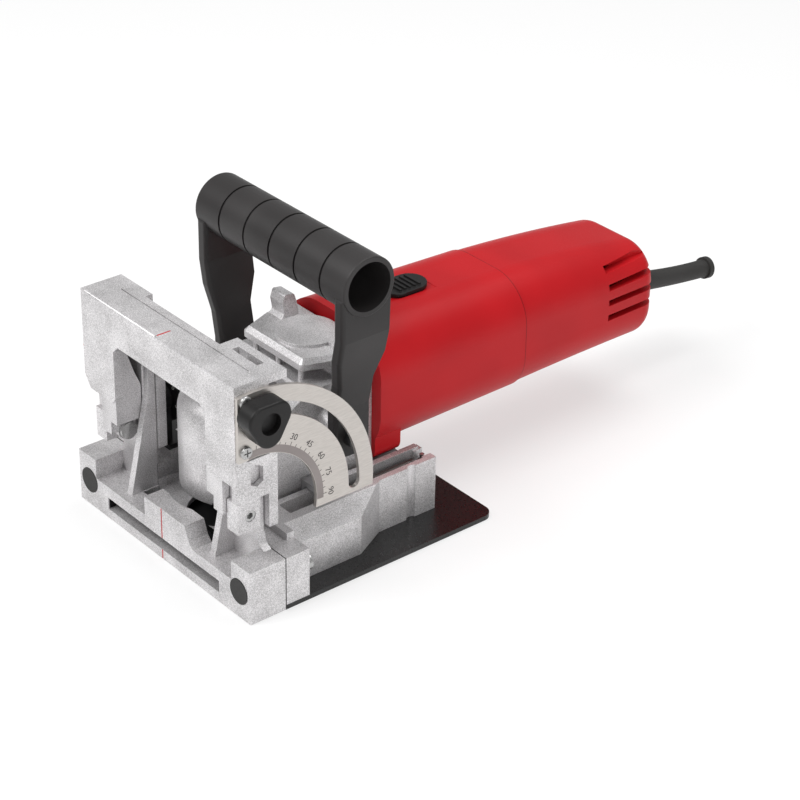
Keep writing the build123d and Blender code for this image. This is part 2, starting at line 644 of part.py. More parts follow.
# ---- gear head casting
cover_z0 = head_rear_top + 1.2
stop_x = dial_x + 2.0     # the stop screw faces the steps of the depth dial
stop_z = dial_z - 9.3
stop_tip_y = dial_y + 4.0 + step_lengths[0] + plunge + 0.3
stop_arm_y = stop_tip_y + 3.3
lock_y = 3.0              # spindle lock button
lock_z = 38.4
lock_r = 3.8
with BuildPart() as dome:
    # drawn out towards the front, with a well rounded top
    with BuildSketch(Plane.XY.offset(bulb_z0)):
        with Locations((0, bulb_y / 2)):
            SlotCenterToCenter(-bulb_y, 2 * bulb_r, rotation=90)
    extrude(amount=head_top - bulb_z0 - 1.0)
    fillet(dome.edges().group_by(Axis.Z)[-1], 13.0)

with BuildPart() as gear_head:
    profile = [(head_y0, head_z0), (head_back, head_z0), (head_back, head_rear_top),
               (34.0, head_rear_top), (31.0, head_top), (13.0, head_top), (head_y0, 70.0)]
    outline(side(-head_hw), profile, 2 * head_hw)
    with BuildSketch(at(head_y0 - 1, (head_z0 + head_rear_top) / 2)) as head_section:
        RectangleRounded(2 * head_hw, head_rear_top - head_z0, 8.0)
    extrude(head_section.sketch, amount=-80.0, mode=Mode.INTERSECT)
    add(dome.part)
    # round flange on the slide plate, spigot for the motor housing, bosses for the handle
    rod((0, 0, head_z0), (0, 0, 1), neck_r, bulb_z0 - head_z0)
    rod((0, head_back - 1, motor_z), (0, 1, 0), spigot_r, 6.0)
    for sx in (-1, 1):
        rod((sx * (head_hw - 4), boss_y, boss_z), (sx, 0, 0), 8.5, leg_foot_x - leg_t - head_hw + 3.9)
    # arm for the depth stop screw
    block(stop_x, -head_hw + 3, stop_arm_y, stop_arm_y + 7, stop_z - 3.6, stop_z + 3.6)
    rod((stop_x, stop_arm_y, stop_z), (0, 1, 0), 3.6, 7.0)
    # posts and pad under the cover
    for x in (-17.5, 0, 17.5):
        rod((x, 17.5, head_top - 1), (0, 0, 1), 1.4, cover_z0 - head_top + 1)
    block(-23.0, 23.0, 34.0, head_back - 2.0, head_rear_top - 1, cover_z0)
    # gear chamber, bearing seats and the passage to the motor
    rod((0, 0, 34.0), (0, 0, 1), gear_chamber_r, 38.2, mode=Mode.SUBTRACT)
    rod((0, 0, 20.0), (0, 0, 1), 9.0, 16.0, mode=Mode.SUBTRACT)
    rod((0, 0, 72.0), (0, 0, 1), 9.5 + bearing_gap, 7.0, mode=Mode.SUBTRACT)
    rod((0, 10.0, motor_z), (0, 1, 0), 8.6, 25.0, mode=Mode.SUBTRACT)
    rod((0, 26.0, motor_z), (0, 1, 0), 13.0 + bearing_gap, 8.0, mode=Mode.SUBTRACT)
    rod((0, 34.0, motor_z), (0, 1, 0), 21.0, head_back, mode=Mode.SUBTRACT)
    # tapped holes
    for sx in (-1, 1):
        rod((sx * 42.0, boss_y, boss_z), (-sx, 0, 0), 2.55, 14.0, mode=Mode.SUBTRACT)
    rod((stop_x, stop_arm_y - 1, stop_z), (0, 1, 0), 2.0 + 0.02, 10.0, mode=Mode.SUBTRACT)
    rod((-head_hw - 4, lock_y, lock_z), (1, 0, 0), lock_r + shaft_gap, 14.0, mode=Mode.SUBTRACT)
save(gear_head, "gear_head")

with BuildPart() as gear_head_cover:
    plate = [(-22.5, 13.5), (22.5, 13.5), (28.6, 30.0), (30.2, head_back - 0.6), (-30.2, head_back - 0.6),
             (-28.6, 30.0)]
    outline(Plane.XY.offset(cover_z0), plate, 5.6)
    fillet(gear_head_cover.edges().filter_by(Axis.Z), 2.5)
    chamfer(gear_head_cover.faces().sort_by(Axis.Z)[-1].edges(), 2.4)
    with BuildSketch(Plane.XY.offset(cover_z0 + 4.0)):
        with Locations((2.0, 33.0)):
            Circle(15.5)
            with Locations((11.0, 8.0)):
                Rectangle(22.0, 15.0)
    extrude(amount=3.2)
    # cast lug at the left rear
    hook = [(30.0, cover_z0 + 4), (42.0, cover_z0 + 4), (40.5, cover_z0 + 13), (39.0, cover_z0 + 17.5),
            (33.5, cover_z0 + 18.5), (32.0, cover_z0 + 14.0), (33.0, cover_z0 + 8)]
    outline(side(-25.5), hook, 10.0)
    fillet(gear_head_cover.edges().filter_by(Axis.X).filter_by(
        lambda e: e.center().Z > cover_z0 + 12), 1.4)
save(gear_head_cover, "gear_head_cover")

with BuildPart() as depth_stop_screw:
    rod((stop_x, stop_tip_y, stop_z), (0, 1, 0), 2.0, 18.0)
    rod((stop_x, stop_arm_y + 7.2, stop_z), (0, 1, 0), 3.3, 3.6)
save(depth_stop_screw, "depth_stop_screw")

with BuildPart() as spindle_lock:
    rod((-head_hw - 3.8, lock_y, lock_z), (1, 0, 0), lock_r, 10.0)
    fillet(spindle_lock.edges().group_by(Axis.X)[0], 0.8)
save(spindle_lock, "spindle_lock")

# ---- main handle: a tube between two legs
with BuildPart() as main_handle:
    leg_x = grip_hw - 0.8
    xz = [(-leg_foot_x, 52.0), (-leg_foot_x, 78.0), (-leg_x, 118.0), (-leg_x, grip_z + 20),
          (leg_x, grip_z + 20), (leg_x, 118.0), (leg_foot_x, 78.0), (leg_foot_x, 52.0),
          (leg_foot_x - leg_t, 52.0), (leg_foot_x - leg_t, 78.0), (leg_x - leg_t, 118.0),
          (leg_x - leg_t, grip_z), (-leg_x + leg_t, grip_z), (-leg_x + leg_t, 118.0),
          (-leg_foot_x + leg_t, 78.0), (-leg_foot_x + leg_t, 52.0)]
    outline(at(60), xz, 80)
    with BuildSketch(side(-80)) as leg_side:
        with BuildLine():
            Polyline((leg_foot_y0, 54.0), (leg_foot_y0, 92.0), (leg_front, 106.0), (leg_front, grip_z - 4),
                     (grip_y - 2, grip_z), (grip_y + 13.4, grip_z - 2), (38.6, 106.0),
                     (leg_foot_y1, 93.0), (leg_foot_y1, 54.0))
            ThreePointArc((leg_foot_y1, 54.0), (boss_y, 52.2), (leg_foot_y0, 54.0))
        make_face()
    extrude(leg_side.sketch, amount=160, mode=Mode.INTERSECT)
    fillet(main_handle.edges().filter_by(GeomType.LINE).filter_by(
        lambda e: e.center().Y < leg_foot_y0 + 0.1 and e.center().Z > 60), 2.0)
    rod((-grip_hw, grip_y, grip_z), (1, 0, 0), grip_r, 2 * grip_hw)
    fillet(main_handle.edges().filter_by(GeomType.CIRCLE).filter_by(
        lambda e: abs(abs(e.center().X) - grip_hw) < 0.01), 0.7)
    for x in (-38.5, -19.3, 0.0, 19.3, 38.5):
        with BuildSketch(side(x)) as ring:
            with Locations((grip_y, grip_z)):
                Circle(grip_r + 1)
                Circle(grip_r - 0.8, mode=Mode.SUBTRACT)
        extrude(ring.sketch, amount=1.3, mode=Mode.SUBTRACT)
    rod((-grip_hw - 1, grip_y, grip_z), (1, 0, 0), grip_bore, 2 * grip_hw + 2, mode=Mode.SUBTRACT)
    for sx in (-1, 1):
        rod((sx * 60, boss_y, boss_z), (-sx, 0, 0), 3.1, 24.0, mode=Mode.SUBTRACT)
save(main_handle, "main_handle")

with BuildPart() as handle_screws:
    for sx in (-1, 1):
        rod((sx * 32.0, boss_y, boss_z), (sx, 0, 0), 2.5, leg_foot_x - 32.0)
        rod((sx * leg_foot_x, boss_y, boss_z), (sx, 0, 0), 4.6, 4.2)
        hexagon((sx * (leg_foot_x + 4.2), boss_y, boss_z), (-sx, 0, 0), 4.0, 2.4, mode=Mode.SUBTRACT)
save(handle_screws, "handle_screws")


# ---- motor shells
def shell_section(y, half_w, half_h, z, inset=0.0):
    """Rounded square cross-section of the motor housing."""
    with BuildSketch(at(y, z)) as section:
        RectangleRounded(2 * (half_w - inset), 2 * (half_h - inset), 0.74 * (half_h - inset))
    return section.sketch


with BuildPart() as motor_front_shell:
    loft([shell_section(shell_front, shell_w0, shell_h0, shell_z0),
          shell_section(seam_y, shell_w1, shell_h1, shell_z1)])
    # square skirt under the front end
    with BuildSketch(at(shell_front + 16, 46.0)) as skirt:
        RectangleRounded(66.0, 30.0, 6.0)
    extrude(skirt.sketch, amount=16.0)
    loft([shell_section(shell_front + shell_wall, shell_w0, shell_h0, shell_z0, shell_t),
          shell_section(seam_y, shell_w1, shell_h1, shell_z1, shell_t)], mode=Mode.SUBTRACT)
    rod((0, shell_front - 1, motor_z), (0, 1, 0), spigot_r + 0.1, 6.0, mode=Mode.SUBTRACT)
    # recess and slot for the switch
    block(-9.2, 9.2, 75.4, 107.8, shell_z0 + shell_h0 - 1.9, shell_z0 + shell_h0 + 4, mode=Mode.SUBTRACT)
    block(-3.0, 3.0, 86.0, 98.0, 90.0, 110.0, mode=Mode.SUBTRACT)
save(motor_front_shell, "motor_front_shell")

# ---- strain relief of the cord, drooping to the rear
boot_y = shell_back - 14.0
boot_path = [(boot_y, 57.2, 11.0), (boot_y + 28, 50.6, 13.0), (boot_y + 58, 45.0, 11.0),
             (boot_y + 86, 41.6, 7.0)]


def boot_sections(radii):
    """Circles across the boot's axis, from the root to the tip."""
    sections = []
    for (y, z, droop), r in zip(boot_path, radii):
        normal = (0, cos(radians(droop)), -sin(radians(droop)))
        with BuildSketch(Plane(origin=(0, y, z), x_dir=(1, 0, 0), z_dir=normal)) as ring:
            Circle(r)
        sections.append(ring.sketch)
    return sections


rear_lip = 0.6            # the rear shell is a little smaller than the front one


def rear_cavity(inset):
    """Sections of the space inside the rear shell, drawn in by a clearance."""
    return [shell_section(seam_y, shell_w1 - rear_lip, shell_h1 - rear_lip, shell_z1, shell_t + inset),
            shell_section(seam_y + 48, shell_w2, shell_h2, shell_z2, shell_t + inset),
            shell_section(shell_back - 9, shell_w2 - 1.0, shell_h2 - 3.6, shell_z2 - 3.0,
                          shell_t + 2 + inset)]


with BuildPart() as motor_rear_shell:
    loft([shell_section(seam_y, shell_w1 - rear_lip, shell_h1 - rear_lip, shell_z1),
          shell_section(seam_y + 48, shell_w2, shell_h2, shell_z2),
          shell_section(shell_back, shell_w2 - 1.0, shell_h2 - 3.6, shell_z2 - 3.0)])
    fillet(motor_rear_shell.faces().sort_by(Axis.Y)[-1].edges(), 8.0)
    loft(rear_cavity(0), mode=Mode.SUBTRACT)
    for sx in (-1, 1):
        for z in (58.4, 67.0, 75.6, 84.2):
            x0, x1 = sorted((sx * 22.0, sx * 40.0))
            block(x0, x1, 206.0, shell_back + 1, z - 1.7, z + 1.7, mode=Mode.SUBTRACT)
    loft(boot_sections((6.8, 5.7, 5.1, 5.1)), mode=Mode.SUBTRACT)
save(motor_rear_shell, "motor_rear_shell")

tip_y, tip_z, tip_droop = boot_path[-1]
tip_dir = (0, cos(radians(tip_droop)), -sin(radians(tip_droop)))
cable_r = 3.6
with BuildPart() as strain_relief:
    loft(boot_sections((6.7, 5.6, 5.0, 5.0)))
    rod((0, tip_y - 2.2, tip_z + 0.3), tip_dir, 6.1, 3.0)
    rod((0, boot_y, 57.2), (0, cos(radians(11)), -sin(radians(11))), 9.0, 2.6)
    loft(boot_sections((cable_r, cable_r, cable_r, cable_r)), mode=Mode.SUBTRACT)
    rod((0, tip_y - 1.0, tip_z), tip_dir, cable_r + 0.5, 5.0, mode=Mode.SUBTRACT)
save(strain_relief, "strain_relief")

# ---- slide switch on the top of the housing
switch_y = 94.0
switch_z = shell_z0 + shell_h0 - 1.6
with BuildPart() as switch_button:
    with BuildSketch(Plane.XY.offset(switch_z)):
        with Locations((0, switch_y)):
            SlotOverall(26.0, 17.0, rotation=90)
    extrude(amount=2.2)
    for i in range(5):
        y = switch_y + 3.0 * (i - 2)
        block(-6.0, 6.0, y - 0.6, y + 0.6, switch_z + 2.0, switch_z + 3.2)
    block(-2.6, 2.6, switch_y - 1.5, switch_y + 2.5, 93.0, switch_z + 0.5)
save(switch_button, "switch_button")

with BuildPart() as switch_block:
    block(-7.0, 7.0, 80.0, 104.0, 94.2, 95.9)
    block(-3.2, 3.2, 84.4, 98.6, 85.0, 99.0, mode=Mode.SUBTRACT)
save(switch_block, "switch_block")

# ---- spindle with blade, flanges and crown gear
with BuildPart() as spindle:
    rod((0, 0, 3.4), (0, 0, 1), 3.0, 5.0)
    rod((0, 0, blade_z + blade_t / 2 + 1.8), (0, 0, 1), spindle_r, 66.3)
    rod((0, 0, blade_z), (0, 0, 1), 3.0, 5.0)
    rod((0, 0, 20.2), (0, 0, 1), 7.0, 2.0)
save(spindle, "spindle")

with BuildPart() as upper_bearing:
    rod((0, 0, 72.0), (0, 0, 1), 9.5, 6.6)
    rod((0, 0, 71.0), (0, 0, 1), spindle_r + bearing_gap, 9.0, mode=Mode.SUBTRACT)
save(upper_bearing, "upper_bearing")

blade_z0 = blade_z - 1.3
teeth = 6


def tooth_face(i, z):
    """Outline of one carbide tip, seen from above."""
    a = radians(360 / teeth * i)
    with BuildSketch(Plane(origin=(0, 0, z), x_dir=(cos(a), sin(a), 0), z_dir=(0, 0, 1))) as tooth:
        with Locations((blade_r - 5.0, -2.8)):
            Rectangle(10.4, 2.4)
        Circle(blade_r, mode=Mode.INTERSECT)
    return tooth.sketch


with BuildPart() as blade:
    with BuildSketch(Plane.XY.offset(blade_z0)) as disc:
        Circle(blade_r - 4.0)
        with PolarLocations(blade_r - 6.0, teeth):
            with Locations((0, 3.0)):
                Rectangle(8.0, 13.0)
        Circle(blade_r - 0.6, mode=Mode.INTERSECT)
        Circle(3.0 + 0.02, mode=Mode.SUBTRACT)
    extrude(disc.sketch, amount=2.6)
    for i in range(teeth):
        extrude(tooth_face(i, blade_z0 - 1), amount=4.6, mode=Mode.SUBTRACT)
save(blade, "blade")

with BuildPart() as blade_teeth:
    for i in range(teeth):
        extrude(tooth_face(i, blade_z - blade_t / 2), amount=blade_t)
save(blade_teeth, "blade_teeth")

with BuildPart() as blade_flange:
    rod((0, 0, blade_z0 + 2.6), (0, 0, 1), 9.0, 2.4)
    rod((0, 0, blade_z0), (0, 0, 1), 3.0, 5.0, mode=Mode.SUBTRACT)
save(blade_flange, "blade_flange")

with BuildPart() as blade_nut:
    rod((0, 0, blade_z0 - 2.6), (0, 0, 1), 9.5, 2.6)
    rod((0, 0, blade_z0 - 3.0), (0, 0, 1), 3.0, 4.0, mode=Mode.SUBTRACT)
    for a in (0, 180):
        hole = (6.6 * cos(radians(a)), 6.6 * sin(radians(a)), blade_z0 - 3.0)
        rod(hole, (0, 0, 1), 1.2, 2.0, mode=Mode.SUBTRACT)
save(blade_nut, "blade_nut")

# ---- bevel pair, cut back to clear each other
with BuildPart() as crown_gear:
    with BuildSketch(side(0)) as cone:
        with BuildLine():
            Polyline((spindle_r, crown_z - 9), (12.0, crown_z - 9), (19.6, crown_z - 3.4),
                     (19.6, crown_z + 0.4), (11.5, crown_z + 3.4), (spindle_r, crown_z + 3.4),
                     (spindle_r, crown_z - 9))
        make_face()
    revolve(cone.sketch, axis=Axis((0, 0, 0), (0, 0, 1)))
    for i in range(32):
        a = radians(360 / 32 * i)
        rod((10.0 * cos(a), 10.0 * sin(a), crown_z + 4.7), (cos(a), sin(a), -0.37), 0.9, 12.0,
            mode=Mode.SUBTRACT)
save(crown_gear, "crown_gear")

with BuildPart() as pinion:
    with BuildSketch(side(0)) as cone:
        with BuildLine():
            Polyline((11.0, motor_z + shaft_r), (22.6, motor_z + shaft_r), (22.6, motor_z + 6.4),
                     (19.4, motor_z + 8.0), (11.0, motor_z + 5.0), (11.0, motor_z + shaft_r))
        make_face()
    revolve(cone.sketch, axis=Axis((0, 0, motor_z), (0, 1, 0)))
    for i in range(11):
        a = radians(360 / 11 * i)
        rod((8.8 * cos(a), 22.7, motor_z + 8.8 * sin(a)), (-0.36 * cos(a), -1, -0.36 * sin(a)), 1.1, 14.0,
            mode=Mode.SUBTRACT)
save(pinion, "pinion")

# ---- motor on the armature axis
with BuildPart() as armature_shaft:
    rod((0, 10.4, motor_z), (0, 1, 0), shaft_r, 195.0)
save(armature_shaft, "armature_shaft")


def on_shaft(y, length, radius, hub=shaft_r):
    """Ring that sits on the armature shaft."""
    rod((0, y, motor_z), (0, 1, 0), radius, length)
    rod((0, y - 1, motor_z), (0, 1, 0), hub, length + 2, mode=Mode.SUBTRACT)


with BuildPart() as front_bearing:
    on_shaft(26.2, 7.6, 13.0, shaft_r + bearing_gap)
save(front_bearing, "front_bearing")

with BuildPart() as rear_bearing:
    on_shaft(196.0, 7.0, 9.5, shaft_r + bearing_gap)
save(rear_bearing, "rear_bearing")

with BuildPart() as rear_bearing_plate:
    loft(rear_cavity(0.1))
    block(-40.0, 40.0, 196.0, 201.5, 20.0, 110.0, mode=Mode.INTERSECT)
    with BuildSketch(at(190.0, motor_z)) as holes:
        Circle(9.5)
        with PolarLocations(18.5, 4, start_angle=45):
            Circle(5.5)
    extrude(holes.sketch, amount=-20.0, mode=Mode.SUBTRACT)
save(rear_bearing_plate, "rear_bearing_plate")

with BuildPart() as fan:
    on_shaft(fan_y, 3.0, 10.0)
    on_shaft(fan_y, 1.6, fan_r, 9.0)
    for i in range(12):
        a = radians(30 * i)
        vane_plane = Plane(origin=(0, fan_y + 1.5, motor_z), x_dir=(cos(a), 0, sin(a)), z_dir=(0, 1, 0))
        with BuildSketch(vane_plane) as vane:
            with Locations((19.0, 0)):
                Rectangle(15.0, 1.2)
        extrude(vane.sketch, amount=7.0)
save(fan, "fan")

with BuildPart() as armature_core:
    on_shaft(88.0, 44.0, core_r)
    with BuildSketch(at(88.0, motor_z)) as slots:
        with PolarLocations(core_r - 2.0, 12):
            Rectangle(5.0, 2.2)
    extrude(slots.sketch, amount=-44.0, mode=Mode.SUBTRACT)
save(armature_core, "armature_core")

with BuildPart() as armature_winding:
    on_shaft(79.0, 9.0, core_r - 3.0)
    on_shaft(132.0, 9.0, core_r - 3.0)
save(armature_winding, "armature_winding")

with BuildPart() as commutator:
    on_shaft(146.0, 14.0, 11.0)
    with BuildSketch(at(146.0, motor_z)) as bars:
        with PolarLocations(11.0, 22):
            Rectangle(1.0, 0.5)
    extrude(bars.sketch, amount=-14.0, mode=Mode.SUBTRACT)
save(commutator, "commutator")

with BuildPart() as field_stator:
    with BuildSketch(at(88.0, motor_z)) as laminations:
        with Locations((0, shell_z1 + 0.2 - motor_z)):
            RectangleRounded(2 * (shell_w1 - shell_t), 2 * (shell_h1 - shell_t) - 0.2, 21.5)
        Circle(core_r + 0.8, mode=Mode.SUBTRACT)
    extrude(laminations.sketch, amount=-44.0)
    # flat that leaves room for the switch
    block(-8.0, 8.0, 87.0, 106.0, 92.4, 100.0, mode=Mode.SUBTRACT)
save(field_stator, "field_stator")

with BuildPart() as brush_holders:
    for sx in (-1, 1):
        x0, x1 = sorted((sx * 12.4, sx * 31.0))
        block(x0, x1, 148.0, 158.0, motor_z - 5.0, motor_z + 5.0)
        block(x0 - 1, x1 + 1, 149.9, 156.1, motor_z - 3.1, motor_z + 3.1, mode=Mode.SUBTRACT)
save(brush_holders, "brush_holders")

with BuildPart() as carbon_brushes:
    for sx in (-1, 1):
        x0, x1 = sorted((sx * 11.2, sx * 24.0))
        block(x0, x1, 150.0, 156.0, motor_z - 3.0, motor_z + 3.0)
save(carbon_brushes, "carbon_brushes")
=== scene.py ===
# %% [markdown]
# # A biscuit joiner
#
# A hand tool that cuts curved slots in the edge of a board.  A red motor housing and a black
# bail handle ride on a sprung slide; the base, the fence and the gear head are alloy castings.
# The construction comes from the frame, so this file adds finishes, softened edges and the
# pieces whose surface is better worked out as a formula.  Everything is in metres.

import json

import bpy
import numpy as np
from mathutils import Matrix, Vector


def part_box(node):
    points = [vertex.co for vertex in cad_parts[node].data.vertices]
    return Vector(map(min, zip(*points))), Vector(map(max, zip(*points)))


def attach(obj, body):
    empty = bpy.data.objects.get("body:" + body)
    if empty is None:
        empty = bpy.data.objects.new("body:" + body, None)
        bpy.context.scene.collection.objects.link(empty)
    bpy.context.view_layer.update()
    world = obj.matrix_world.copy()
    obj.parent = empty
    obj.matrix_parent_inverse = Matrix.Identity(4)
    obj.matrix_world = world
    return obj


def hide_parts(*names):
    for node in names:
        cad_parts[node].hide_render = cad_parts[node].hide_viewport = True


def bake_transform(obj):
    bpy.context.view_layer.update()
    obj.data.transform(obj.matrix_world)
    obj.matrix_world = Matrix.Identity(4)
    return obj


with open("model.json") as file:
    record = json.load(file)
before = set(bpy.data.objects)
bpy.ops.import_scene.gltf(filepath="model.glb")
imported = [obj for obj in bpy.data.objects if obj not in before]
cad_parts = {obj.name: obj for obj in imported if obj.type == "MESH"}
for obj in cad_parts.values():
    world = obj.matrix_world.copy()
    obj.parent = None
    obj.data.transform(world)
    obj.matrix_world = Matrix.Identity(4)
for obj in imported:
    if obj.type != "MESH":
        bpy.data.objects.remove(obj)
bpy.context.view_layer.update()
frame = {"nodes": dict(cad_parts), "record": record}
MM = 0.001
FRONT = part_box("front_casting")[0][1] / MM      # the face that is pressed on the work
CASTING_DEPTH = 20.5                            # from that face to the joint with the second casting
SLOT_HALF_WIDTH = 46.0
SLOT_BOTTOM, SLOT_TOP = 5.3, 11.6
SHADOW_LINE_HALF = 0.28                                # half the width of the painted shadow line in a joint


# %% [markdown]
# ## Small helpers
#
# Colours are written as sRGB hex values, the way a paint chart gives them, and a shader works
# in linear light, so one function converts them.  Another adds a node and its links.

# %% Colour and node helpers
def linear(hex_colour):
    """sRGB hex to linear RGBA: below 0.04045 a straight line, above it a 2.4 power."""
    channels = [int(hex_colour[i:i + 2], 16) / 255 for i in (0, 2, 4)]
    return [c / 12.92 if c <= 0.04045 else ((c + 0.055) / 1.055) ** 2.4 for c in channels] + [1.0]


def add(tree, kind, settings=None, **inputs):
    """Adds a node; an input is a value, or an output socket of another node to link from."""
    node = tree.nodes.new(kind)
    for key, value in (settings or {}).items():
        setattr(node, key, value)
    for key, value in inputs.items():
        socket = node.inputs[int(key[1:]) if key[0] == "_" else key.replace("_", " ")]
        if isinstance(value, bpy.types.NodeSocket):
            tree.links.new(value, socket)
        else:
            socket.default_value = value
    return node


def start_material(name):
    """New material with a Principled shader; returns the material, its tree and the shader."""
    material = bpy.data.materials.new(name)
    material.use_nodes = True
    tree = material.node_tree
    return material, tree, tree.nodes["Principled BSDF"]


def place(tree):
    """Object coordinates, which on every piece are the tool's own frame in metres."""
    return tree.nodes.new("ShaderNodeTexCoord").outputs["Object"]


def ramp(tree, factor, stops):
    """Colour ramp with (position, hex) stops."""
    node = add(tree, "ShaderNodeValToRGB", Fac=factor)
    elements = node.color_ramp.elements
    while len(elements) < len(stops):
        elements.new(0.5)
    for element, (position, colour) in zip(elements, stops):
        element.position = position
        element.color = linear(colour)
    return node.outputs["Color"]


# %% Masks in the tool's own frame
def inside(tree, where, low, high):
    """1 inside the box between two corners in millimetres, 0 outside: a product of comparisons,
    each of which asks whether a coordinate is within half the box's size of its middle."""
    axes = add(tree, "ShaderNodeSeparateXYZ", Vector=where)
    product = None
    for axis, (a, b) in enumerate(zip(low, high)):
        test = add(tree, "ShaderNodeMath", {"operation": "COMPARE"}, _0=axes.outputs[axis],
                   _1=(a + b) / 2 * MM, _2=(b - a) / 2 * MM).outputs[0]
        if product is not None:
            test = add(tree, "ShaderNodeMath", {"operation": "MULTIPLY"}, _0=product, _1=test).outputs[0]
        product = test
    return product


def darkened(tree, colour, masks, shade):
    """The colour, with a darker one painted as shade wherever one of the masks is 1."""
    for mask in masks:
        mix = add(tree, "ShaderNodeMix", {"data_type": "RGBA"}, _0=mask, _6=colour, _7=linear(shade))
        colour = mix.outputs[2]
    return colour


# %% [markdown]
# ## Finishes
#
# The castings are die-cast aluminium, tumbled and bead blasted: a light matt grey whose skin
# sparkles in grains of about half a millimetre.  A metallic shader with a fairly high
# roughness gives the soft sheen, and two sizes of noise give the grain and the flow marks.
# The painted shade along the line where two castings meet and on the inner walls of the blade slot comes
# from masks in the material: boxes in the tool's own frame, so they stay put from every side.

# %% Cast aluminium
def cast_aluminium():
    """Bead-blasted die casting: 0.45 mm grain in colour, roughness and relief."""
    material, tree, shader = start_material("blasted_cast_aluminium")
    grain_mm = 0.45
    where = place(tree)
    grain = add(tree, "ShaderNodeTexNoise", Vector=where, Scale=1 / (grain_mm * MM), Detail=2.0,
                Roughness=0.6)
    flow = add(tree, "ShaderNodeTexNoise", Vector=where, Scale=1 / (14 * MM), Detail=3.0)
    mixed = add(tree, "ShaderNodeMath", {"operation": "MULTIPLY_ADD"}, _0=flow.outputs["Fac"], _1=0.35,
                _2=grain.outputs["Fac"])
    colour = ramp(tree, mixed.outputs[0], [(0.42, "979595"), (0.66, "CAC8C9"), (0.86, "EDEBEC")])
    # painted shade: the inner walls of the blade slot and a thin line across the joint between the castings
    # are darkened
    joint_y = FRONT + CASTING_DEPTH
    # painted shade on the inner walls of the blade slot, where the chamber lies in shadow
    slot_wall_painted_shade = inside(tree, where, (-SLOT_HALF_WIDTH, FRONT + 0.7, SLOT_BOTTOM),
                        (SLOT_HALF_WIDTH, FRONT + 22.0, SLOT_TOP))
    # painted shadow: a thin dark line across the gap where the two castings meet
    joint_shadow_line = inside(tree, where, (-71.0, joint_y - SHADOW_LINE_HALF, -1.0), (71.0, joint_y + SHADOW_LINE_HALF, 30.0))
    colour = darkened(tree, colour, [slot_wall_painted_shade, joint_shadow_line], "1E1D1D")
    tree.links.new(colour, shader.inputs["Base Color"])
    shader.inputs["Metallic"].default_value = 0.65
    rough = add(tree, "ShaderNodeMapRange", Value=grain.outputs["Fac"], From_Min=0.3, From_Max=0.7,
                To_Min=0.36, To_Max=0.54)
    tree.links.new(rough.outputs[0], shader.inputs["Roughness"])
    relief = add(tree, "ShaderNodeBump", Strength=0.28, Distance=0.12 * MM, Height=grain.outputs["Fac"])
    tree.links.new(relief.outputs["Normal"], shader.inputs["Normal"])
    return material


# %% Sheet and bar steel
def steel(name, light, dark, roughness, stretch=(1.0, 1.0, 1.0), line_mm=0.25):
    """Ground or drawn steel: noise stretched along the direction of the grinding lines."""
    material, tree, shader = start_material(name)
    scaled = add(tree, "ShaderNodeMapping", Vector=place(tree), Scale=stretch)
    lines = add(tree, "ShaderNodeTexNoise", Vector=scaled.outputs[0], Scale=1 / (line_mm * MM), Detail=2.0)
    colour = ramp(tree, lines.outputs["Fac"], [(0.3, dark), (0.7, light)])
    tree.links.new(colour, shader.inputs["Base Color"])
    shader.inputs["Metallic"].default_value = 0.85
    spread = add(tree, "ShaderNodeMapRange", Value=lines.outputs["Fac"], From_Min=0.3, From_Max=0.7,
                 To_Min=roughness - 0.06, To_Max=roughness + 0.08)
    tree.links.new(spread.outputs[0], shader.inputs["Roughness"])
    return material


# %% [markdown]
# The housing is injection-moulded ABS.  Its skin copies the mould's fine spark-eroded texture,
# so highlights are broad with a slightly shiny core.  The handle is glass-filled nylon and is
# duller; the switch and the knob are the same with a coarser grain.

# %% Moulded plastics and rubber
def moulded(name, colour, shade, roughness, grain_mm, relief_mm, gloss=0.5, shaded_seam_y=None):
    """Moulded polymer: spark-eroded grain in relief, faint drift of colour over 30 mm, and painted shade at
    a seam if one is given.
    """
    material, tree, shader = start_material(name)
    where = place(tree)
    drift = add(tree, "ShaderNodeTexNoise", Vector=where, Scale=1 / (30 * MM), Detail=1.0)
    tint = ramp(tree, drift.outputs["Fac"], [(0.35, shade), (0.65, colour)])
    if shaded_seam_y is not None:
        # painted shade: a dark red line where the front and rear shells meet, standing in for the shadow in
        # the seam
        seam_painted_shade = inside(tree, where, (-60.0, shaded_seam_y - 0.25, 0.0), (60.0, shaded_seam_y + 0.25, 120.0))
        tint = darkened(tree, tint, [seam_painted_shade], "3A060A")
    tree.links.new(tint, shader.inputs["Base Color"])
    grain = add(tree, "ShaderNodeTexNoise", Vector=where, Scale=1 / (grain_mm * MM), Detail=1.0)
    rough = add(tree, "ShaderNodeMapRange", Value=grain.outputs["Fac"], From_Min=0.3, From_Max=0.7,
                To_Min=roughness - 0.04, To_Max=roughness + 0.05)
    tree.links.new(rough.outputs[0], shader.inputs["Roughness"])
    relief = add(tree, "ShaderNodeBump", Strength=0.22, Distance=relief_mm * MM,
                 Height=grain.outputs["Fac"])
    tree.links.new(relief.outputs["Normal"], shader.inputs["Normal"])
    shader.inputs["IOR"].default_value = 1.5
    shader.inputs["Specular IOR Level"].default_value = gloss
    return material


